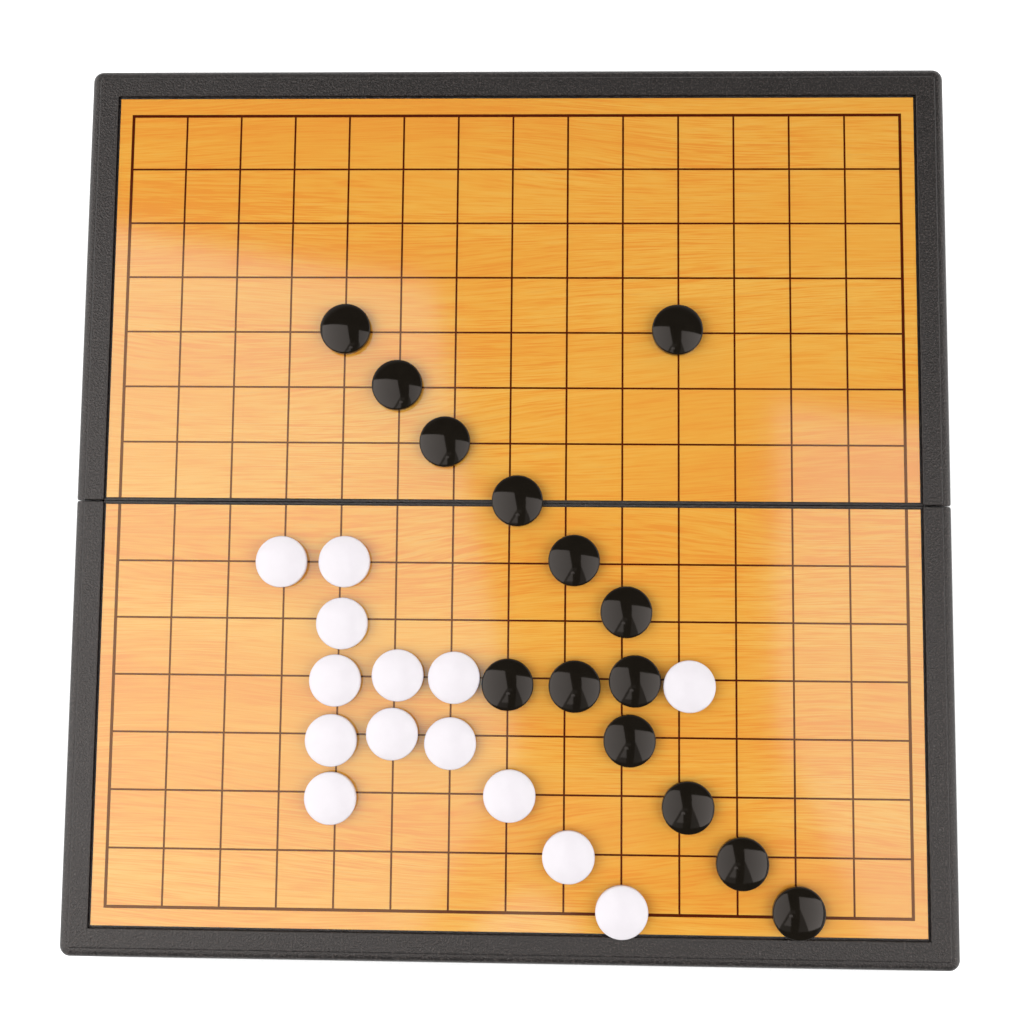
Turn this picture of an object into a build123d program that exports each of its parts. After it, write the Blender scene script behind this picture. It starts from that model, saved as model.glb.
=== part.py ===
from build123d import *
import os
from math import sqrt

# Playing grid
COLUMN_PITCH = 17.8
ROW_PITCH = 17.95
LINE_COUNT = 15
GRID_LINE = 0.6
EDGE_LINE = 0.95
INK_THICKNESS = 0.04

# Film and steel sheet laid in each half
SIDE_MARGIN = 4.4
END_MARGIN = 5.8
FILM_THICKNESS = 0.3
FILM_GAP = 0.85
FILM_SEAM_GAP = 0.4
FILM_SINK = 0.5
STEEL_THICKNESS = 0.35
STEEL_INSET = 0.8

# Moulded trays
SIDE_BORDER = 9.25
END_BORDER = 9.15
TRAY_HEIGHT = 20.0
WALL = 2.6
PLATE = 2.0
CORNER_RADIUS = 3.4
INNER_CORNER_RADIUS = 1.5
SHOULDER_WIDTH = 2.95
SHOULDER_DROP = 0.65
SHOULDER_ROUND = 2.4
BORDER_CORNER_RADIUS = 1.2
BORDER_EDGE_ROUND = 0.6
RECESS_BEVEL = 0.2
SEAM_GAP = 0.3
SEAM_RIB = 0.55
SEAM_RIB_SINK = 0.1
SEAM_CORNER = 0.8
SEAM_BEVEL = 0.3
STIFFENER_THICKNESS = 1.4
STIFFENER_HEIGHT = 2.5
STIFFENER_SHARES = (-0.5, 0.0, 0.5)

# Rim: the front tray's outer lip goes round the back tray's inner lip when the case is shut
LIP_GAP = 0.3
LIP_END_GAP = 0.2
DETENT_RADIUS = 0.8
DETENT_HEIGHT = 0.5
DETENT_LENGTH = 14.0
DETENT_INSET = 78.7
DETENT_CLEARANCE = 0.25
NOTCH_RADIUS = 16.0
NOTCH_DEPTH = 2.4

# Hinges
KNUCKLE_RADIUS = 1.9
KNUCKLE_LIFT = 0.1
KNUCKLE_LENGTH = 12.0
KNUCKLE_END_GAP = 0.3
KNUCKLE_CLEARANCE = 0.3
HINGE_INSET = 53.7
HINGE_WALL_GAP = 0.15
PIN_RADIUS = 0.75
PIN_PRESS = 0.01
PIN_RUNNING = 0.05

# Stones
STONE_CLEARANCE = 1.6
STONE_HEIGHT = 4.8
DOME_RADIUS = 20.0
STONE_EDGE_ROUND = 0.75
STONE_BEVEL_WIDTH = 1.2
STONE_BEVEL_HEIGHT = 0.9
MAGNET_RADIUS = 4.5
MAGNET_HEIGHT = 2.4
MAGNET_GAP = 0.1

# One overrun for every cut
OVERRUN = 1.0

# Stone places: column from the left and row from the back, in pitches of the grid
BLACK_STONE_SHARES = (
    (4.02, 3.97), (4.97, 4.98), (5.84, 5.99), (7.14, 6.97), (8.15, 7.95), (9.07, 8.84), (9.97, 3.97),
    (7.0, 10.11), (8.17, 10.13), (9.22, 10.03), (9.13, 11.05), (10.14, 12.17), (11.07, 13.1), (12.03, 13.91),
)
WHITE_STONE_SHARES = (
    (2.97, 8.01), (4.09, 8.0), (4.07, 9.08), (3.97, 10.07), (5.07, 9.97), (6.06, 10.0), (3.92, 11.1),
    (4.99, 10.98), (6.01, 11.13), (3.93, 12.09), (7.05, 12.01), (8.08, 13.03), (9.0, 13.94), (10.17, 10.11),
)

# Plan of a half: it starts at the seam line, y = 0, and runs to +Y
middle_line = (LINE_COUNT - 1) // 2
grid_half_width = middle_line * COLUMN_PITCH
seam_face = SEAM_GAP / 2
rib_face = seam_face + SEAM_RIB
film_near = rib_face + FILM_SEAM_GAP
grid_far = film_near + middle_line * ROW_PITCH
film_half_width = grid_half_width + SIDE_MARGIN
film_far = grid_far + END_MARGIN
recess_half_width = film_half_width + FILM_GAP
recess_far = film_far + FILM_GAP
tray_half_width = recess_half_width + SIDE_BORDER
tray_far = recess_far + END_BORDER
inner_half_width = tray_half_width - WALL
inner_near = seam_face + WALL
inner_far = tray_far - WALL

# Levels
film_top = TRAY_HEIGHT - FILM_SINK
film_bottom = film_top - FILM_THICKNESS
recess_floor = film_bottom - STEEL_THICKNESS
plate_under = recess_floor - PLATE
shoulder_level = TRAY_HEIGHT - SHOULDER_DROP
stone_base = film_top + INK_THICKNESS
axis_height = KNUCKLE_RADIUS + KNUCKLE_LIFT

# Rim and hinge
lip = (WALL - LIP_GAP) / 2
lip_step = 2 * axis_height + LIP_END_GAP
hinge_zone = inner_near + LIP_GAP
hinge_wall_level = axis_height + HINGE_WALL_GAP
knuckle_step = KNUCKLE_LENGTH + KNUCKLE_END_GAP
pin_length = KNUCKLE_LENGTH + 2 * knuckle_step
hinge_centres = (HINGE_INSET - tray_half_width, tray_half_width - HINGE_INSET)
front_knuckles = [c + side * knuckle_step for c in hinge_centres for side in (-1, 1)]
back_knuckles = list(hinge_centres)
detent_centres = (DETENT_INSET - tray_half_width, tray_half_width - DETENT_INSET)
detent_place = tray_far - lip - LIP_GAP - DETENT_RADIUS + DETENT_HEIGHT

# Stone sizes
stone_radius = (min(COLUMN_PITCH, ROW_PITCH) - STONE_CLEARANCE) / 2
dome_centre = STONE_HEIGHT - DOME_RADIUS
stone_edge = dome_centre + sqrt(DOME_RADIUS**2 - stone_radius**2)


def slab(half_width, near, far, low, high):
    """Block centred on X, from near to far along Y and from low to high along Z."""
    place = Pos(0, (near + far) / 2, (low + high) / 2)
    return place * Box(2 * half_width, far - near, high - low)


def plan(inset, near, corner):
    """Plan of a half, drawn in by inset on its three outer sides, with round far corners."""
    depth = tray_far - inset - near
    sheet = Pos(0, near + depth / 2) * Rectangle(2 * (tray_half_width - inset), depth)
    return fillet(sheet.vertices().group_by(Axis.Y)[-1], corner)


def rods(centres, radius, length, along_y, height):
    """Rods along X, one at each centre."""
    return [Pos(c, along_y, height) * Rot(0, 90, 0) * Cylinder(radius, length) for c in centres]


def outer_edges(block):
    """Edges round the top of a block, without those of its seam side."""
    top = block.faces().sort_by(Axis.Z)[-1]
    return top.edges().filter_by(lambda edge: edge.center().Y > seam_face + SEAM_CORNER)


def tray_blank():
    """Solid outer form of a half: a skirt with a round shoulder, and the raised border above it."""
    outer = plan(0, seam_face, CORNER_RADIUS)
    outer = chamfer(outer.vertices().group_by(Axis.Y)[0], SEAM_CORNER)
    skirt = extrude(outer, shoulder_level)
    skirt = fillet(outer_edges(skirt), SHOULDER_ROUND)
    raised = extrude(plan(SHOULDER_WIDTH, seam_face, BORDER_CORNER_RADIUS), SHOULDER_DROP)
    raised = fillet(outer_edges(raised), BORDER_EDGE_ROUND)
    return skirt + Pos(0, 0, shoulder_level) * raised


def face_cuts():
    """Recess for the sheets, the low rib along the seam, and the bevels where the borders meet."""
    recess = slab(recess_half_width, rib_face, recess_far, recess_floor, TRAY_HEIGHT + OVERRUN)
    mouth_place = Pos(0, (rib_face + recess_far) / 2, TRAY_HEIGHT - RECESS_BEVEL)
    mouth = mouth_place * Rectangle(2 * recess_half_width, recess_far - rib_face)
    recess += extrude(mouth, RECESS_BEVEL, taper=-45)
    rib_top = film_top - SEAM_RIB_SINK
    rib_cut = slab(recess_half_width, 0, rib_face + OVERRUN, rib_top, TRAY_HEIGHT + OVERRUN)
    corner = (seam_face, TRAY_HEIGHT)
    inward = (seam_face + SEAM_BEVEL, TRAY_HEIGHT)
    below = (seam_face, TRAY_HEIGHT - SEAM_BEVEL)
    bevel = extrude(Plane.YZ * Polygon(corner, inward, below, align=None), tray_half_width, both=True)
    bevel -= slab(recess_half_width, 0, inward[0] + OVERRUN, below[1] - OVERRUN, TRAY_HEIGHT + OVERRUN)
    return [recess, rib_cut, bevel]


def stiffeners():
    """Ribs under the plate, three from front to back and one across."""
    low = plate_under - STIFFENER_HEIGHT
    high = plate_under + PLATE / 2
    middle = (inner_near + inner_far) / 2
    half_thickness = STIFFENER_THICKNESS / 2
    long_rib = slab(half_thickness, inner_near - WALL / 2, inner_far + WALL / 2, low, high)
    cross_rib = slab(inner_half_width + WALL / 2, middle - half_thickness, middle + half_thickness, low, high)
    return [Pos(share * inner_half_width, 0, 0) * long_rib for share in STIFFENER_SHARES] + [cross_rib]


def hollow_tray():
    """A half with its recess, storage hollow, stiffeners and raised hinge wall, before its rim is cut."""
    body = tray_blank() - face_cuts()
    inside = plan(WALL, inner_near, INNER_CORNER_RADIUS)
    body -= extrude(inside, plate_under)
    body += stiffeners()
    return body - slab(tray_half_width + OVERRUN, 0, hinge_zone, -OVERRUN, hinge_wall_level)


def add_knuckles(body, own, other, bore_radius):
    """Gives a half its own knuckles with their bores, and room for the other half's knuckles."""
    room_length = KNUCKLE_LENGTH + 2 * KNUCKLE_END_GAP
    body -= rods(other, KNUCKLE_RADIUS + KNUCKLE_CLEARANCE, room_length, 0, axis_height)
    body += rods(own, KNUCKLE_RADIUS, KNUCKLE_LENGTH, 0, axis_height)
    return body - rods(own, bore_radius, KNUCKLE_LENGTH + OVERRUN, 0, axis_height)


def front_tray():
    """Half with the outer lip, the grooves that catch the other half, and a thumb notch."""
    lip_room = extrude(plan(lip, inner_near, CORNER_RADIUS - lip), lip_step)
    body = hollow_tray() - lip_room
    groove_length = DETENT_LENGTH + 2 * DETENT_CLEARANCE
    body -= rods(detent_centres, DETENT_RADIUS + DETENT_CLEARANCE, groove_length, detent_place, axis_height)
    notch = Pos(0, tray_far, NOTCH_DEPTH - NOTCH_RADIUS) * Rot(90, 0, 0) * Cylinder(NOTCH_RADIUS, 2 * WALL)
    return add_knuckles(body - notch, front_knuckles, back_knuckles, PIN_RADIUS - PIN_PRESS)


def back_tray():
    """Half with the inner lip and the small ridges that snap into the other half."""
    kept = extrude(plan(lip + LIP_GAP, 0, CORNER_RADIUS - lip - LIP_GAP), lip_step)
    ring = slab(tray_half_width + OVERRUN, inner_near, tray_far + OVERRUN, -OVERRUN, lip_step) - kept
    body = hollow_tray() - ring
    body += rods(detent_centres, DETENT_RADIUS, DETENT_LENGTH, detent_place, axis_height)
    return add_knuckles(body, back_knuckles, front_knuckles, PIN_RADIUS + PIN_RUNNING)


def steel_plate():
    """Thin sheet on the floor of the recess."""
    half_width = film_half_width - STEEL_INSET
    return slab(half_width, film_near + STEEL_INSET, film_far - STEEL_INSET, recess_floor, film_bottom)


def playing_film():
    """Printed sheet on the steel."""
    return slab(film_half_width, film_near, film_far, film_bottom, film_top)


def grid_print():
    """Ink lines of one half. The seam takes the place of the middle row."""
    lines = []
    for number in range(-middle_line, middle_line + 1):
        width = EDGE_LINE if abs(number) == middle_line else GRID_LINE
        line = slab(width / 2, film_near, grid_far + EDGE_LINE / 2, film_top, stone_base)
        lines.append(Pos(number * COLUMN_PITCH, 0, 0) * line)
    for number in range(1, middle_line + 1):
        width = EDGE_LINE if number == middle_line else GRID_LINE
        place = film_near + number * ROW_PITCH
        half_length = grid_half_width + EDGE_LINE / 2
        lines.append(slab(half_length, place - width / 2, place + width / 2, film_top, stone_base))
    return lines[0] + lines[1:]


def stone():
    """Shallow dome with a bevelled underside, and the disc magnet in its pocket."""
    foot = (stone_radius - STONE_BEVEL_WIDTH, 0)
    waist = (stone_radius, STONE_BEVEL_HEIGHT)
    edge = (stone_radius, stone_edge)
    top = (0, STONE_HEIGHT)
    half_chord = stone_radius / 2
    on_dome = (half_chord, dome_centre + sqrt(DOME_RADIUS**2 - half_chord**2))
    flat_lines = Polyline(top, (0, 0), foot, waist, edge)
    section = make_face([*flat_lines.edges(), ThreePointArc(edge, on_dome, top)])
    rim = section.vertices().group_by(Axis.X)[-1].sort_by(Axis.Y)[-1]
    shell = revolve(Plane.XZ * fillet(rim, STONE_EDGE_ROUND), Axis.Z)
    on_base = (Align.CENTER, Align.CENTER, Align.MIN)
    shell -= Cylinder(MAGNET_RADIUS + MAGNET_GAP, MAGNET_HEIGHT + MAGNET_GAP, align=on_base)
    magnet = Cylinder(MAGNET_RADIUS, MAGNET_HEIGHT, align=on_base)
    return shell, magnet


def stone_place(column_share, row_share):
    """Place on the board of a stone, from its column and row in pitches."""
    rows_from_seam = middle_line - row_share
    y = rows_from_seam * ROW_PITCH + max(-1, min(1, rows_from_seam)) * film_near
    return Pos((column_share - middle_line) * COLUMN_PITCH, y, stone_base)


def hinge_pin(centre):
    """Steel pin through the three knuckles of one hinge."""
    return rods([centre], PIN_RADIUS, pin_length, 0, axis_height)[0]


half_turn = Rot(0, 0, 180)
nodes = {
    "front_tray": half_turn * front_tray(),
    "back_tray": back_tray(),
    "front_steel_plate": half_turn * steel_plate(),
    "back_steel_plate": steel_plate(),
    "front_playing_film": half_turn * playing_film(),
    "back_playing_film": playing_film(),
    "front_grid_print": half_turn * grid_print(),
    "back_grid_print": grid_print(),
    "hinge_pin_left": hinge_pin(hinge_centres[0]),
    "hinge_pin_right": hinge_pin(hinge_centres[1]),
}
one_stone = stone()
for colour, shares in (("black", BLACK_STONE_SHARES), ("white", WHITE_STONE_SHARES)):
    for number, place in enumerate(shares, start=1):
        nodes[f"{colour}_stone_{number:02d}"] = Compound([stone_place(*place) * piece for piece in one_stone])

os.makedirs("parts", exist_ok=True)
for name, shape in nodes.items():
    export_step(shape, f"parts/{name}.step")
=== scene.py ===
"""Dresses the folding magnetic board: textured trays, printed wood films, domed stones and the studio."""
import logging
import math
from dataclasses import dataclass
from enum import Enum

import bmesh
import bpy
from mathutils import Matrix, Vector


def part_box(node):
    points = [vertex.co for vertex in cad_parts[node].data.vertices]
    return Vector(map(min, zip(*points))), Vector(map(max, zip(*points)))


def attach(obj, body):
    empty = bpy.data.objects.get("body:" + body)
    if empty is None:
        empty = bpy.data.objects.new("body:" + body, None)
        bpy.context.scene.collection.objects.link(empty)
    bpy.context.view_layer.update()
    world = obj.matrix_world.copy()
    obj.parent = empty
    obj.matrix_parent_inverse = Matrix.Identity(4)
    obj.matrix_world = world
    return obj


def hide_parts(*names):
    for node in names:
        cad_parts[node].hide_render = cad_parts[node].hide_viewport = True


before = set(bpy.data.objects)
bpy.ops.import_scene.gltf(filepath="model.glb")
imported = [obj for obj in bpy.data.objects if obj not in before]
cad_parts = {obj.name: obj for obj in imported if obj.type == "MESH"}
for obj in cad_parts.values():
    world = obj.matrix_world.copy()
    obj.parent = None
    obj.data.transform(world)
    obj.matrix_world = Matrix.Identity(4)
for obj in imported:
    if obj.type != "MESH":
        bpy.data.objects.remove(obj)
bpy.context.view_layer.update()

MM = 0.001
SHARP_ANGLE = math.radians(40)
CORNER_ANGLE = math.radians(30)
ROUNDING_STEPS = 2

LOG = logging.getLogger("folding_board")
Span = tuple[float, float]
Triple = tuple[float, float, float]
Colour = Triple
Socket = bpy.types.NodeSocket

FULL: Span = (0.0, 1.0)
WIDE: Span = (0.2, 0.8)
MIDDLE: Span = (0.3, 0.7)
WHITE: Colour = (1.0, 1.0, 1.0)


class Half(Enum):
    """The two halves of the board, by the names that their nodes start with."""

    FRONT = "front"
    BACK = "back"


class StoneColour(Enum):
    """The two sets of stones, by the names that their nodes start with."""

    BLACK = "black"
    WHITE = "white"


class Detail(Enum):
    """How many finer layers a noise pattern has over its first."""

    SMOOTH = 0.0
    SOFT = 1.0
    FINE = 2.0
    FINEST = 3.0


class NodeSheet:
    """A node tree under way, with short calls for the nodes that the finishes and the room share."""

    def __init__(self, tree: bpy.types.NodeTree) -> None:
        """Keeps the tree that the nodes go into."""
        self.tree = tree

    def add(
        self, kind: str, inputs: dict[str | int, object] | None = None, **settings: object
    ) -> bpy.types.Node:
        """Adds one node.

        Args:
            kind: Type name of the node.
            inputs: Values or sockets for its inputs, by name or number.
            **settings: Properties of the node.

        Returns:
            The new node.
        """
        node = self.tree.nodes.new(kind)
        for name, value in settings.items():
            setattr(node, name, value)
        for name, value in (inputs or {}).items():
            self.feed(node.inputs[name], value)
        return node

    def feed(self, socket: Socket, value: object) -> None:
        """Links another node's output to an input, or sets the input's own value.

        Args:
            socket: Input to fill.
            value: Another node's output, or a plain value.
        """
        if isinstance(value, bpy.types.NodeSocket):
            self.tree.links.new(value, socket)
        else:
            socket.default_value = value

    def mapped(self, place: Socket, scale: Triple, shift: Triple = (0, 0, 0)) -> Socket:
        """Stretches and moves a pattern's coordinates.

        Args:
            place: Coordinates to start from.
            scale: Pattern repeats per metre along each axis.
            shift: Move of the stretched coordinates.

        Returns:
            The new coordinates.
        """
        inputs = {"Vector": place, "Scale": scale, "Location": shift}
        return self.add("ShaderNodeMapping", inputs).outputs[0]

    def noise(
        self, place: Socket, scale: float = 1.0, detail: Detail = Detail.FINE, crispness: float = 0.5
    ) -> Socket:
        """Returns smooth noise from 0 to 1 over the given coordinates."""
        inputs = {"Vector": place, "Scale": scale, "Detail": detail.value, "Roughness": crispness}
        return self.add("ShaderNodeTexNoise", inputs).outputs[0]

    def sum(self, *terms: object) -> Socket:
        """Adds values up.

        Args:
            *terms: Numbers or other nodes' outputs.

        Returns:
            The total.
        """
        total = terms[0]
        for term in terms[1:]:
            total = self.add("ShaderNodeMath", {0: total, 1: term}, operation="ADD").outputs[0]
        return total

    def times(self, left: object, right: object) -> Socket:
        """Returns the product of two values."""
        return self.add("ShaderNodeMath", {0: left, 1: right}, operation="MULTIPLY").outputs[0]

    def spread(self, value: Socket, start: Span, end: tuple[object, object]) -> Socket:
        """Maps a value from one range to another, held at its ends.

        Args:
            value: Value to map.
            start: Range to map from.
            end: Range to map to, in numbers or other nodes' outputs.

        Returns:
            The mapped value.
        """
        inputs = {0: value, 1: start[0], 2: start[1], 3: end[0], 4: end[1]}
        return self.add("ShaderNodeMapRange", inputs).outputs[0]

    def ramp(self, factor: Socket, stops: list[tuple[float, Colour]]) -> Socket:
        """Colours a value by a ramp.

        Args:
            factor: Value from 0 to 1.
            stops: Place and linear colour of each stop.

        Returns:
            The colour.
        """
        node = self.add("ShaderNodeValToRGB", {0: factor})
        elements = node.color_ramp.elements
        while len(elements) < len(stops):
            elements.new(0.5)
        for element, (place, colour) in zip(elements, stops):
            element.position = place
            element.color = (*colour, 1)
        return node.outputs[0]

    def mix(self, factor: object, low: object, high: object) -> Socket:
        """Returns a colour between two, by a factor."""
        low, high = ((*c, 1) if isinstance(c, tuple) else c for c in (low, high))
        return self.add("ShaderNodeMix", {0: factor, 6: low, 7: high}, data_type="RGBA").outputs[2]

    def bump(self, height: Socket, distance: float, strength: float = 1.0) -> Socket:
        """Tilts the surface by a height pattern.

        Args:
            height: Height from 0 to 1.
            distance: Depth in metres of the whole height.
            strength: Share of the effect.

        Returns:
            The tilted normal.
        """
        inputs = {"Height": height, "Distance": distance, "Strength": strength}
        return self.add("ShaderNodeBump", inputs).outputs[0]


class FinishSheet(NodeSheet):
    """The node tree of one new material, with its surface shader and the coordinates of its object."""

    def __init__(self, name: str) -> None:
        """Starts a material with a plain surface shader.

        Args:
            name: Name of the material.
        """
        self.material = bpy.data.materials.new(name)
        self.material.use_nodes = True
        super().__init__(self.material.node_tree)
        self.surface = self.tree.nodes["Principled BSDF"]
        self.object_place = self.add("ShaderNodeTexCoord").outputs["Object"]

    def uneven(self, pattern: Socket, reach: Span, level: float, shares: Span) -> Socket:
        """Returns a level that a pattern varies between two shares of it."""
        return self.spread(pattern, reach, (level * shares[0], level * shares[1]))

    def set_surface(self, **values: object) -> None:
        """Fills inputs of the surface shader, named with underscores for spaces."""
        for name, value in values.items():
            self.feed(self.surface.inputs[name.replace("_", " ")], value)


@dataclass(frozen=True)
class MouldedPlastic:
    """Black plastic from a textured mould: fine pitted grain, pale dust and rubbed, duller patches."""

    name: str = "black_abs"
    dark: Colour = (0.0016, 0.0011, 0.0010)
    grey: Colour = (0.0340, 0.0255, 0.0226)
    dust: Colour = (0.11, 0.105, 0.10)
    sheen: Colour = (1.0, 0.935, 0.905)
    grain_scale: float = 1600.0
    grain_crispness: float = 0.6
    grain_depth: float = 0.3 * MM
    grain_range: Span = (0.51, 0.67)
    dust_scale: float = 1500.0
    dust_range: Span = (0.73, 0.80)
    dust_cover: float = 0.7
    patch_scale: float = 35.0
    roughness: float = 0.2
    grain_roughness: float = 0.14
    patch_roughness: float = 0.1

    def build(self) -> bpy.types.Material:
        """Makes the material.

        Returns:
            The new material.
        """
        sheet = FinishSheet(self.name)
        grain = sheet.noise(sheet.object_place, self.grain_scale, Detail.FINEST, self.grain_crispness)
        patches = sheet.noise(sheet.object_place, self.patch_scale, Detail.FINEST)
        specks = sheet.noise(sheet.object_place, self.dust_scale, Detail.SOFT)
        body = sheet.mix(sheet.spread(grain, self.grain_range, FULL), self.dark, self.grey)
        dusted = sheet.spread(specks, self.dust_range, (0.0, self.dust_cover))
        grain_part = sheet.times(grain, self.grain_roughness)
        patch_part = sheet.times(patches, self.patch_roughness)
        sheet.set_surface(
            Base_Color=sheet.mix(dusted, body, self.dust),
            Roughness=sheet.sum(self.roughness, grain_part, patch_part),
            Specular_Tint=(*self.sheen, 1),
            Normal=sheet.bump(grain, self.grain_depth),
        )
        return sheet.material


@dataclass(frozen=True)
class FilmRipple:
    """Slow unevenness of a film that is stuck to its plate, which bends what it mirrors."""

    scale: float = 14.0
    depth: float = 0.35 * MM

    def normal(self, sheet: FinishSheet) -> Socket:
        """Returns the surface's normal, tilted by the ripple of a material under way."""
        return sheet.bump(sheet.noise(sheet.object_place, self.scale, Detail.SMOOTH), self.depth)


@dataclass(frozen=True)
class WoodPrintFilm:
    """Glossy film printed with pale wood: broad warm bands, arched figure and patches of fine fibres."""

    name: str
    ripple: FilmRipple
    shift: Triple
    deep: Colour = (0.60, 0.224, 0.027)
    warm: Colour = (0.615, 0.283, 0.036)
    light: Colour = (0.63, 0.338, 0.058)
    fibre: Colour = (0.51, 0.172, 0.021)
    sheen: Colour = (0.5, 0.8, 1.0)
    tone_stops: Triple = (0.3, 0.5, 0.7)
    bend_scale: Triple = (5, 20, 0)
    band_scale: Triple = (4, 34, 0)
    figure_scale: Triple = (12, 480, 0)
    fibre_scale: Triple = (62, 1900, 0)
    patch_scale: Triple = (10, 32, 0)
    fibre_crispness: float = 0.6
    arch_height: float = 0.036
    middle_range: Span = (0.35, 0.65)
    patch_strength: Span = (0.4, 1.0)
    streak_reach: Span = (-0.5, 0.5)
    figure_share: float = 0.28
    fibre_share: float = 0.72
    ground_tone: float = 0.22
    band_share: float = 0.55
    streak_share: float = 0.64
    dark_fibre_range: Span = (0.58, 0.80)
    dark_fibre_cover: float = 0.7
    gloss: float = 0.09
    gloss_shares: Span = (0.9, 1.15)
    ior: float = 1.6

    def build(self) -> bpy.types.Material:
        """Makes the material.

        Returns:
            The new material.
        """
        sheet = FinishSheet(self.name)
        bend_place = sheet.mapped(sheet.object_place, self.bend_scale, self.shift)
        bend = sheet.noise(bend_place, detail=Detail.SOFT)
        x, y, _ = sheet.add("ShaderNodeSeparateXYZ", {0: sheet.object_place}).outputs
        level = sheet.sum(y, sheet.times(bend, self.arch_height))
        grain_place = sheet.add("ShaderNodeCombineXYZ", {0: x, 1: level}).outputs[0]
        band_place = sheet.mapped(grain_place, self.band_scale, self.shift)
        figure_place = sheet.mapped(grain_place, self.figure_scale, self.shift)
        fibre_place = sheet.mapped(grain_place, self.fibre_scale, self.shift)
        patch_place = sheet.mapped(sheet.object_place, self.patch_scale, self.shift)
        bands = sheet.noise(band_place, detail=Detail.SOFT)
        figure = sheet.noise(figure_place)
        fibres = sheet.noise(fibre_place, crispness=self.fibre_crispness)
        patches = sheet.noise(patch_place, detail=Detail.SOFT)
        strength = sheet.spread(patches, self.middle_range, self.patch_strength)
        lines = sheet.sum(sheet.times(figure, self.figure_share), sheet.times(fibres, self.fibre_share))
        streaks = sheet.times(sheet.spread(lines, self.middle_range, self.streak_reach), strength)
        band_part = sheet.times(bands, self.band_share)
        streak_part = sheet.times(streaks, self.streak_share)
        tone = sheet.sum(self.ground_tone, band_part, streak_part)
        wood = sheet.ramp(tone, list(zip(self.tone_stops, (self.deep, self.warm, self.light))))
        dark_part = sheet.spread(fibres, self.dark_fibre_range, (0.0, self.dark_fibre_cover))
        sheet.set_surface(
            Base_Color=sheet.mix(sheet.times(dark_part, strength), wood, self.fibre),
            Roughness=sheet.uneven(figure, WIDE, self.gloss, self.gloss_shares),
            IOR=self.ior,
            Specular_Tint=(*self.sheen, 1),
            Normal=self.ripple.normal(sheet),
        )
        return sheet.material


@dataclass(frozen=True)
class PrintedInk:
    """Dark brown printed line under the same gloss as the film, a little uneven in strength."""

    name: str
    ripple: FilmRipple
    full: Colour = (0.050, 0.0046, 0.0004)
    thin: Colour = (0.074, 0.0084, 0.0008)
    sheen: Colour = (1.0, 0.74, 0.42)
    strength_scale: float = 600.0
    gloss: float = 0.1
    gloss_shares: Span = (0.9, 1.2)
    ior: float = 1.6

    def build(self) -> bpy.types.Material:
        """Makes the material.

        Returns:
            The new material.
        """
        sheet = FinishSheet(self.name)
        strength = sheet.noise(sheet.object_place, self.strength_scale)
        sheet.set_surface(
            Base_Color=sheet.mix(strength, self.full, self.thin),
            Roughness=sheet.uneven(strength, WIDE, self.gloss, self.gloss_shares),
            IOR=self.ior,
            Specular_Tint=(*self.sheen, 1),
            Normal=self.ripple.normal(sheet),
        )
        return sheet.material


@dataclass(frozen=True)
class PolishedStone:
    """Polished moulded plastic of a stone, with faint clouding and handling marks."""

    name: str
    body: Colour
    cloud: Colour
    ior: float
    sheen: Colour
    cloud_scale: float = 240.0
    cloud_depth: float = 0.02 * MM
    cloud_strength: float = 0.5
    mark_scale: Triple = (900, 2600, 900)
    mark_range: Span = (0.35, 0.8)
    gloss: float = 0.06
    gloss_shares: Span = (1.0, 1.8)

    def build(self) -> bpy.types.Material:
        """Makes the material.

        Returns:
            The new material.
        """
        sheet = FinishSheet(self.name)
        clouding = sheet.noise(sheet.object_place, self.cloud_scale, Detail.FINEST)
        marks = sheet.noise(sheet.mapped(sheet.object_place, self.mark_scale))
        sheet.set_surface(
            Base_Color=sheet.mix(sheet.spread(clouding, MIDDLE, FULL), self.body, self.cloud),
            Roughness=sheet.uneven(marks, self.mark_range, self.gloss, self.gloss_shares),
            IOR=self.ior,
            Specular_Tint=(*self.sheen, 1),
            Normal=sheet.bump(clouding, self.cloud_depth, self.cloud_strength),
        )
        return sheet.material


BLACK_STONE = PolishedStone(
    name="black_stone",
    body=(0.0054, 0.0041, 0.0026),
    cloud=(0.0070, 0.0054, 0.0036),
    ior=1.33,
    sheen=(1.0, 0.9, 0.85),
)
WHITE_STONE = PolishedStone(
    name="white_stone",
    body=(0.624, 0.592, 0.618),
    cloud=(0.606, 0.575, 0.6),
    ior=1.25,
    sheen=WHITE,
)


@dataclass(frozen=True)
class BareMetal:
    """Bare rolled or drawn steel with fine lines along one axis, or pressed ferrite with none."""

    name: str
    bright: Colour
    dull: Colour
    line_scale: Triple
    metallic: float = 1.0
    roughness: float = 0.34
    roughness_shares: Span = (0.8, 1.3)
    line_depth: float = 0.02 * MM
    line_strength: float = 0.6
    line_share: float = 0.6
    stain_scale: float = 90.0
    stain_share: float = 0.4

    def build(self) -> bpy.types.Material:
        """Makes the material.

        Returns:
            The new material.
        """
        sheet = FinishSheet(self.name)
        line_place = sheet.mapped(sheet.object_place, self.line_scale)
        lines = sheet.noise(line_place, detail=Detail.FINEST)
        stain = sheet.noise(sheet.object_place, self.stain_scale, Detail.FINEST)
        tone = sheet.sum(sheet.times(lines, self.line_share), sheet.times(stain, self.stain_share))
        sheet.set_surface(
            Base_Color=sheet.mix(sheet.spread(tone, MIDDLE, FULL), self.dull, self.bright),
            Metallic=self.metallic,
            Roughness=sheet.uneven(lines, WIDE, self.roughness, self.roughness_shares),
            Normal=sheet.bump(lines, self.line_depth, self.line_strength),
        )
        return sheet.material


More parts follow.
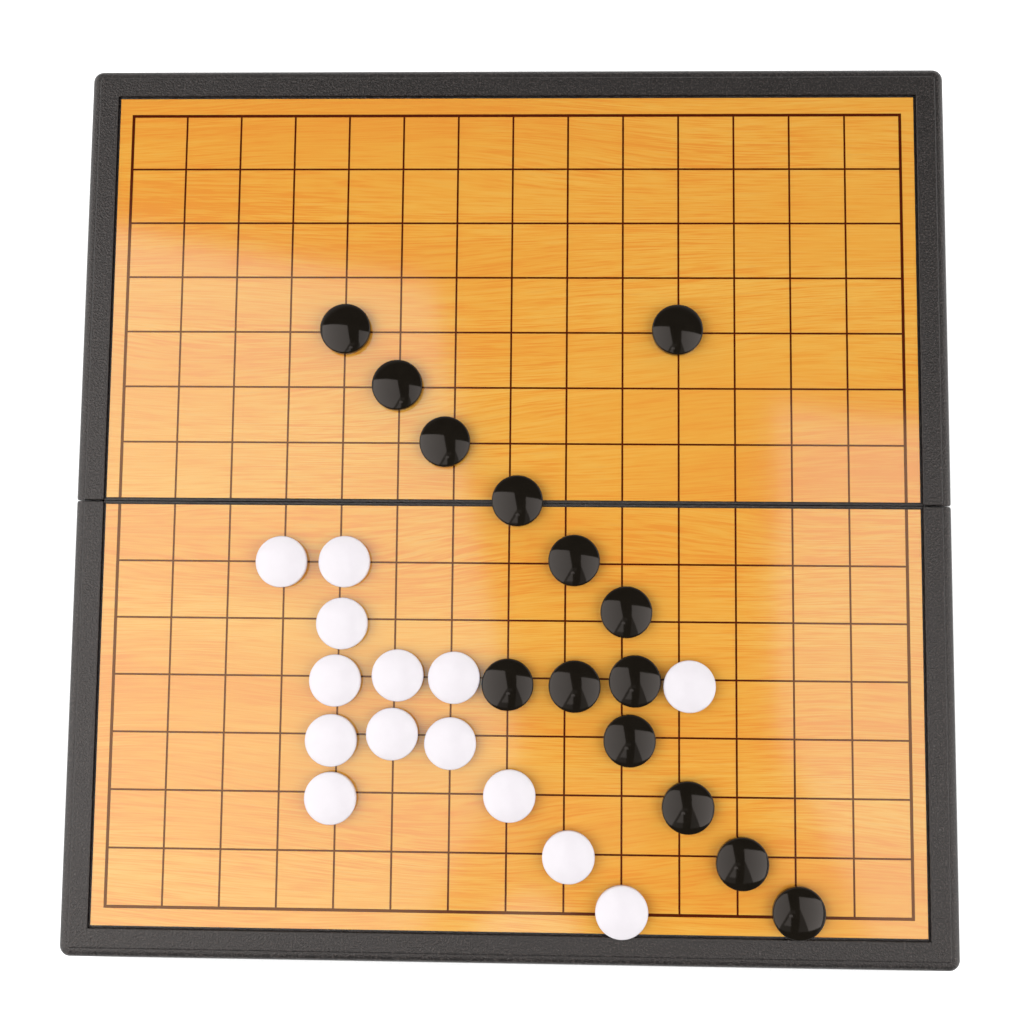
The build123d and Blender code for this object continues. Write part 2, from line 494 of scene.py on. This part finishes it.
STEEL_SHEET = BareMetal(
    name="steel_sheet",
    bright=(0.58, 0.58, 0.58),
    dull=(0.4, 0.4, 0.41),
    line_scale=(4000, 90, 4000),
)
PIN_STEEL = BareMetal(
    name="pin_steel",
    bright=(0.62, 0.61, 0.59),
    dull=(0.42, 0.41, 0.4),
    line_scale=(60, 4000, 4000),
    roughness=0.26,
)
MAGNET_FERRITE = BareMetal(
    name="magnet_ferrite",
    bright=(0.055, 0.052, 0.05),
    dull=(0.03, 0.028, 0.027),
    line_scale=(900, 900, 900),
    metallic=0.3,
    roughness=0.55,
)


def dress_node(node: str, material: bpy.types.Material) -> None:
    """Gives a carried-over node its finish.

    Args:
        node: Name of the node.
        material: Finish to give.
    """
    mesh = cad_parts[node].data
    mesh.materials.clear()
    mesh.materials.append(material)
    LOG.info("dressed %s in %s", node, material.name)


def round_edges(bm: bmesh.types.BMesh, edges: list[bmesh.types.BMEdge], offset: float) -> None:
    """Rounds edges of a mesh under way.

    Args:
        bm: Mesh under way.
        edges: Edges to round.
        offset: Width of the rounding on each side of an edge.
    """
    bmesh.ops.bevel(
        bm, geom=edges, offset=offset, segments=ROUNDING_STEPS, profile=0.5, affect="EDGES", material=-1
    )


def finish_piece(
    bm: bmesh.types.BMesh, name: str, material: bpy.types.Material, body: str
) -> bpy.types.Object:
    """Makes an object from a mesh under way and hangs it on a body.

    Args:
        bm: Mesh under way, which is freed.
        name: Name of the piece.
        material: Its finish.
        body: Body that it moves with.

    Returns:
        The new piece.
    """
    mesh = bpy.data.meshes.new(name)
    bm.to_mesh(mesh)
    bm.free()
    mesh.shade_smooth()
    mesh.set_sharp_from_angle(angle=SHARP_ANGLE)
    mesh.materials.append(material)
    piece = bpy.data.objects.new(name, mesh)
    bpy.context.collection.objects.link(piece)
    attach(piece, body)
    LOG.info("made %s", name)
    return piece


@dataclass
class BoardHalf:
    """One half of the board: its tray, steel plate, wood film and printed lines."""

    half: Half
    ripple: FilmRipple
    grain_shift: Triple
    plastic: bpy.types.Material
    steel: bpy.types.Material

    def dress(self) -> None:
        """Gives the half's four nodes their finishes."""
        side = self.half.value
        dress_node(f"{side}_tray", self.plastic)
        dress_node(f"{side}_steel_plate", self.steel)
        film = WoodPrintFilm(f"{side}_wood_film", self.ripple, self.grain_shift)
        dress_node(f"{side}_playing_film", film.build())
        ink = PrintedInk(f"{side}_brown_ink", self.ripple)
        dress_node(f"{side}_grid_print", ink.build())


@dataclass
class HingePins:
    """The two steel pins of the hinges."""

    finish: BareMetal
    nodes: tuple[str, str] = ("hinge_pin_left", "hinge_pin_right")

    def dress(self) -> None:
        """Gives both pins their finish."""
        material = self.finish.build()
        for node in self.nodes:
            dress_node(node, material)


@dataclass
class StoneSet:
    """The domed stones of one colour, each a moulded shell with a disc magnet in its underside."""

    colour: StoneColour
    finish: PolishedStone
    magnet_finish: bpy.types.Material
    count: int = 14
    dome_radius: float = 20 * MM
    edge_round: float = 0.75 * MM
    bevel_width: float = 1.2 * MM
    bevel_height: float = 0.9 * MM
    softening: float = 0.16 * MM
    magnet_radius: float = 4.5 * MM
    magnet_height: float = 2.4 * MM
    magnet_gap: float = 0.1 * MM
    magnet_softening: float = 0.2 * MM
    weld_reach: float = 0.0001 * MM
    turns: int = 72
    dome_steps: int = 12
    rim_steps: int = 8

    def build(self) -> None:
        """Makes every stone of the set in the place of its node."""
        material = self.finish.build()
        for number in range(1, self.count + 1):
            node = f"{self.colour.value}_stone_{number:02d}"
            low, high = (Vector(corner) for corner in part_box(node))
            radius, height = (high.x - low.x) / 2, high.z - low.z
            foot = Vector(((low.x + high.x) / 2, (low.y + high.y) / 2, low.z))
            shell = finish_piece(self.shell(radius, height, foot), f"{node}_shell", material, node)
            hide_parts(node)
            finish_piece(self.magnet(foot), f"{node}_magnet", self.magnet_finish, node)

    def shell(self, radius: float, height: float, foot: Vector) -> bmesh.types.BMesh:
        """Turns the section of one shell: dome, rounded rim, bevelled underside and magnet pocket.

        Args:
            radius: Radius of the stone.
            height: Height of the stone.
            foot: Middle of its underside on the board.

        Returns:
            The mesh under way.
        """
        bm = bmesh.new()
        reach = self.dome_radius - self.edge_round
        lean = math.asin((radius - self.edge_round) / reach)
        dome_centre = Vector((0, 0, height - self.dome_radius))
        rim_centre = dome_centre + Vector((math.sin(lean), 0, math.cos(lean))) * reach
        tip = bm.verts.new((0, 0, height))
        tip = self.swing(bm, tip, dome_centre, lean, self.dome_steps)
        tip = self.swing(bm, tip, rim_centre, math.pi / 2 - lean, self.rim_steps)
        pocket_radius = self.magnet_radius + self.magnet_gap
        pocket_depth = self.magnet_height + self.magnet_gap
        section = (
            (radius, self.bevel_height),
            (radius - self.bevel_width, 0),
            (pocket_radius, 0),
            (pocket_radius, pocket_depth),
            (0, pocket_depth),
        )
        for out, up in section:
            tip = bmesh.ops.extrude_vert_indiv(bm, verts=[tip])["verts"][0]
            tip.co = (out, 0, up)
        bmesh.ops.spin(
            bm,
            geom=bm.verts[:] + bm.edges[:],
            cent=(0, 0, 0),
            axis=(0, 0, 1),
            angle=2 * math.pi,
            steps=self.turns,
            use_merge=True,
        )
        bmesh.ops.remove_doubles(bm, verts=bm.verts[:], dist=self.weld_reach)
        bmesh.ops.recalc_face_normals(bm, faces=bm.faces[:])
        corners = [
            edge for edge in bm.edges if edge.calc_face_angle(0) > CORNER_ANGLE and edge.calc_length() > 0
        ]
        round_edges(bm, corners, self.softening)
        bmesh.ops.translate(bm, verts=bm.verts[:], vec=foot)
        return bm

    @staticmethod
    def swing(
        bm: bmesh.types.BMesh, tip: bmesh.types.BMVert, centre: Vector, angle: float, steps: int
    ) -> bmesh.types.BMVert:
        """Draws an arc of the section from its last point.

        Args:
            bm: Mesh under way.
            tip: Last point of the section.
            centre: Centre of the arc.
            angle: Angle of the arc.
            steps: Straight pieces of the arc.

        Returns:
            The arc's last point.
        """
        arc = bmesh.ops.spin(bm, geom=[tip], cent=centre, axis=(0, 1, 0), angle=angle, steps=steps)
        return arc["geom_last"][0]

    def magnet(self, foot: Vector) -> bmesh.types.BMesh:
        """Makes the disc magnet of one stone.

        Args:
            foot: Middle of the stone's underside on the board.

        Returns:
            The mesh under way.
        """
        bm = bmesh.new()
        bmesh.ops.create_cone(
            bm,
            cap_ends=True,
            segments=self.turns,
            radius1=self.magnet_radius,
            radius2=self.magnet_radius,
            depth=self.magnet_height,
        )
        rims = [
            edge for edge in bm.edges if abs(edge.verts[0].co.z - edge.verts[1].co.z) < self.magnet_gap
        ]
        round_edges(bm, rims, self.magnet_softening)
        bmesh.ops.translate(bm, verts=bm.verts[:], vec=foot + Vector((0, 0, self.magnet_height / 2)))
        return bm


@dataclass(frozen=True)
class Flag:
    """A dark card before a lamp's face, which covers it where across * x + along * y passes the reach."""

    across: float
    along: float
    reach: float
    leak: float = 0.0
    blur: float = 0.01

    def shade(self, sheet: NodeSheet, x: Socket, y: Socket, radiance: Socket) -> Socket:
        """Puts the card in front of the lamp.

        Args:
            sheet: Node tree of the lamp.
            x: Place on the face from left to right.
            y: Place on the face from near to far.
            radiance: Radiance of the face.

        Returns:
            The radiance that is left.
        """
        beyond = sheet.sum(sheet.times(x, self.across), sheet.times(y, self.along))
        kept = sheet.spread(beyond, (self.reach - self.blur, self.reach), (1.0, self.leak))
        return sheet.times(radiance, kept)


@dataclass(frozen=True)
class Softbox:
    """One flat lamp that hangs level above the board, with flags in front of its face."""

    name: str
    left: float
    right: float
    near: float
    far: float
    height: float
    radiance: Span
    flags: tuple[Flag, ...] = ()

    def hang(self) -> None:
        """Adds the lamp, with the power that gives its face the radiance from its left to its right side."""
        lamp = bpy.data.lights.new(self.name, "AREA")
        lamp.shape = "RECTANGLE"
        lamp.size = self.right - self.left
        lamp.size_y = self.far - self.near
        lamp.energy = math.pi * lamp.size * lamp.size_y
        lamp.use_nodes = True
        sheet = NodeSheet(lamp.node_tree)
        place = sheet.add("ShaderNodeNewGeometry").outputs["Position"]
        x, y, _ = sheet.add("ShaderNodeSeparateXYZ", {0: place}).outputs
        radiance = sheet.spread(x, (self.left, self.right), self.radiance)
        for flag in self.flags:
            radiance = flag.shade(sheet, x, y, radiance)
        sheet.feed(sheet.tree.nodes["Emission"].inputs["Strength"], radiance)
        holder = bpy.data.objects.new(self.name, lamp)
        holder.location = ((self.left + self.right) / 2, (self.near + self.far) / 2, self.height)
        bpy.context.collection.objects.link(holder)


LEFT_SOFTBOX = Softbox(
    name="left_softbox",
    left=-1.15,
    right=-0.015,
    near=-0.85,
    far=0.48,
    height=0.82,
    radiance=(4.62, 2.2),
    flags=(
        Flag(across=0.178, along=1, reach=0.2733),
        Flag(across=1, along=0.184, reach=-0.042),
        Flag(across=1, along=-0.55, reach=0.0672, leak=0.2),
    ),
)
RIGHT_SOFTBOX = Softbox(
    name="right_softbox",
    left=0.215,
    right=1.15,
    near=-0.85,
    far=0.19,
    height=0.82,
    radiance=(2.2, 4.62),
    flags=(
        Flag(across=0.05, along=1, reach=0.187),
        Flag(across=-1, along=-0.47, reach=-0.1516, leak=0.2),
    ),
)
FRONT_GAP = Softbox(
    name="front_gap",
    left=-0.055,
    right=0.042,
    near=-0.335,
    far=-0.257,
    height=0.8,
    radiance=(2.4, 2.4),
    flags=(
        Flag(across=-1, along=1.45, reach=-0.3687),
        Flag(across=1, along=1.45, reach=-0.3767),
    ),
)
FRONT_CORNER = Softbox(
    name="front_corner",
    left=-0.2,
    right=0.0,
    near=-0.6,
    far=-0.335,
    height=0.8,
    radiance=(1.4, 1.4),
    flags=(Flag(across=-1, along=0.55, reach=-0.127),),
)
FRONT_CARD = Softbox(
    name="front_card",
    left=-0.06,
    right=0.1,
    near=-0.25,
    far=-0.17,
    height=0.8,
    radiance=(0.3, 0.3),
)


@dataclass
class Studio:
    """The white floor, the soft light and the camera above the board."""

    softboxes: tuple[Softbox, ...] = (LEFT_SOFTBOX, RIGHT_SOFTBOX, FRONT_GAP, FRONT_CORNER, FRONT_CARD)
    side_glow: float = 2.25
    back_glow: float = 1.2
    near_glow: float = 0.12
    zenith_glow: float = 0.12
    floor_glow: float = 1.3
    backdrop: float = 1.5
    near_to_back: Span = (-0.5, 0.2)
    middle_to_side: Span = (0.55, 0.85)
    low_to_zenith: Span = (0.4, 0.62)
    floor_to_room: Span = (-0.03, 0.0)
    # Reach, samples and grey ramp of the painted contact shadow that ambient occlusion puts on the floor.
    painted_shadow_reach: float = 0.1
    painted_shadow_samples: int = 12
    painted_shadow_stops: tuple[Span, ...] = ((0.0, 0.0), (0.5, 0.3), (0.75, 1.0))
    floor_reach: float = 4.0
    floor_drop: float = 0.05 * MM
    camera_place: Triple = (0.01358, -0.04101, 0.43799)
    camera_turn: Triple = (5.237, 1.699, 0.564)
    camera_start: float = 0.01
    lens: float = 46.69
    sensor: float = 36.0

    def floor_finish(self) -> bpy.types.Material:
        """Makes the floor's finish: clear, with a painted contact shadow close to what stands on it that
        only the camera sees.

        Returns:
            The new material.
        """
        material = bpy.data.materials.new("white_floor")
        material.use_nodes = True
        sheet = NodeSheet(material.node_tree)
        sheet.tree.nodes.remove(sheet.tree.nodes["Principled BSDF"])
        # Painted contact shadow: ambient occlusion darkens only camera rays through the floor near the
        # board, and every other ray passes clear.
        reach = {"Distance": self.painted_shadow_reach}
        openness = sheet.add("ShaderNodeAmbientOcclusion", reach, samples=self.painted_shadow_samples)
        stops = [(place, (grey, grey, grey)) for place, grey in self.painted_shadow_stops]
        shade = sheet.ramp(openness.outputs["AO"], stops)
        to_camera = sheet.add("ShaderNodeLightPath").outputs["Is Camera Ray"]
        painted_shadow_tint = sheet.mix(to_camera, WHITE, shade)
        clear = sheet.add("ShaderNodeBsdfTransparent", {"Color": painted_shadow_tint}).outputs[0]
        sheet.feed(sheet.tree.nodes["Material Output"].inputs["Surface"], clear)
        return material

    def lay_floor(self) -> None:
        """Lays the floor just under the board. It is clear, so the half that folds below it shows."""
        material = self.floor_finish()
        bm = bmesh.new()
        bmesh.ops.create_grid(bm, x_segments=1, y_segments=1, size=self.floor_reach)
        bmesh.ops.translate(bm, verts=bm.verts[:], vec=(0, 0, -self.floor_drop))
        mesh = bpy.data.meshes.new("floor")
        bm.to_mesh(mesh)
        bm.free()
        mesh.materials.append(material)
        floor = bpy.data.objects.new("floor", mesh)
        bpy.context.collection.objects.link(floor)

    def light(self) -> None:
        """Hangs the softboxes and sets the glow of the room.

        The floor is white, the low sides are bright, and the room is dark overhead and near the camera.
        """
        for softbox in self.softboxes:
            softbox.hang()
        world = bpy.data.worlds.new("studio_room")
        world.use_nodes = True
        bpy.context.scene.world = world
        sheet = NodeSheet(world.node_tree)
        way = sheet.add("ShaderNodeTexCoord").outputs["Generated"]
        x, y, z = sheet.add("ShaderNodeSeparateXYZ", {0: way}).outputs
        away = sheet.spread(y, self.near_to_back, (self.near_glow, self.back_glow))
        aside = sheet.add("ShaderNodeMath", {0: x}, operation="ABSOLUTE").outputs[0]
        around = sheet.spread(aside, self.middle_to_side, (away, self.side_glow))
        room = sheet.spread(z, self.low_to_zenith, (around, self.zenith_glow))
        glow = sheet.spread(z, self.floor_to_room, (self.floor_glow, room))
        to_camera = sheet.add("ShaderNodeLightPath").outputs["Is Camera Ray"]
        background = sheet.tree.nodes["Background"]
        sheet.feed(background.inputs["Color"], (*WHITE, 1))
        sheet.feed(background.inputs["Strength"], sheet.spread(to_camera, FULL, (glow, self.backdrop)))

    def set_camera(self) -> None:
        """Sets the camera at the photograph's angle."""
        camera = bpy.data.cameras.new("camera")
        camera.lens = self.lens
        camera.sensor_width = self.sensor
        camera.clip_start = self.camera_start
        holder = bpy.data.objects.new("camera", camera)
        holder.location = self.camera_place
        holder.rotation_euler = [math.radians(turn) for turn in self.camera_turn]
        bpy.context.collection.objects.link(holder)
        bpy.context.scene.camera = holder

    def build(self) -> None:
        """Makes the whole studio."""
        bpy.context.scene.view_settings.view_transform = "Standard"
        self.lay_floor()
        self.light()
        self.set_camera()


FRONT_GRAIN_SHIFT: Triple = (0.31, 0.17, 0)
BACK_GRAIN_SHIFT: Triple = (1.83, 2.61, 0)


def main() -> None:
    """Dresses the halves and the pins, makes the stones and builds the studio."""
    logging.basicConfig(level=logging.INFO, format="%(message)s")
    plastic = MouldedPlastic().build()
    steel = STEEL_SHEET.build()
    ferrite = MAGNET_FERRITE.build()
    BoardHalf(Half.FRONT, FilmRipple(), FRONT_GRAIN_SHIFT, plastic, steel).dress()
    BoardHalf(Half.BACK, FilmRipple(), BACK_GRAIN_SHIFT, plastic, steel).dress()
    HingePins(PIN_STEEL).dress()
    StoneSet(StoneColour.BLACK, BLACK_STONE, ferrite).build()
    StoneSet(StoneColour.WHITE, WHITE_STONE, ferrite).build()
    Studio().build()


if __name__ == "__main__":
    main()
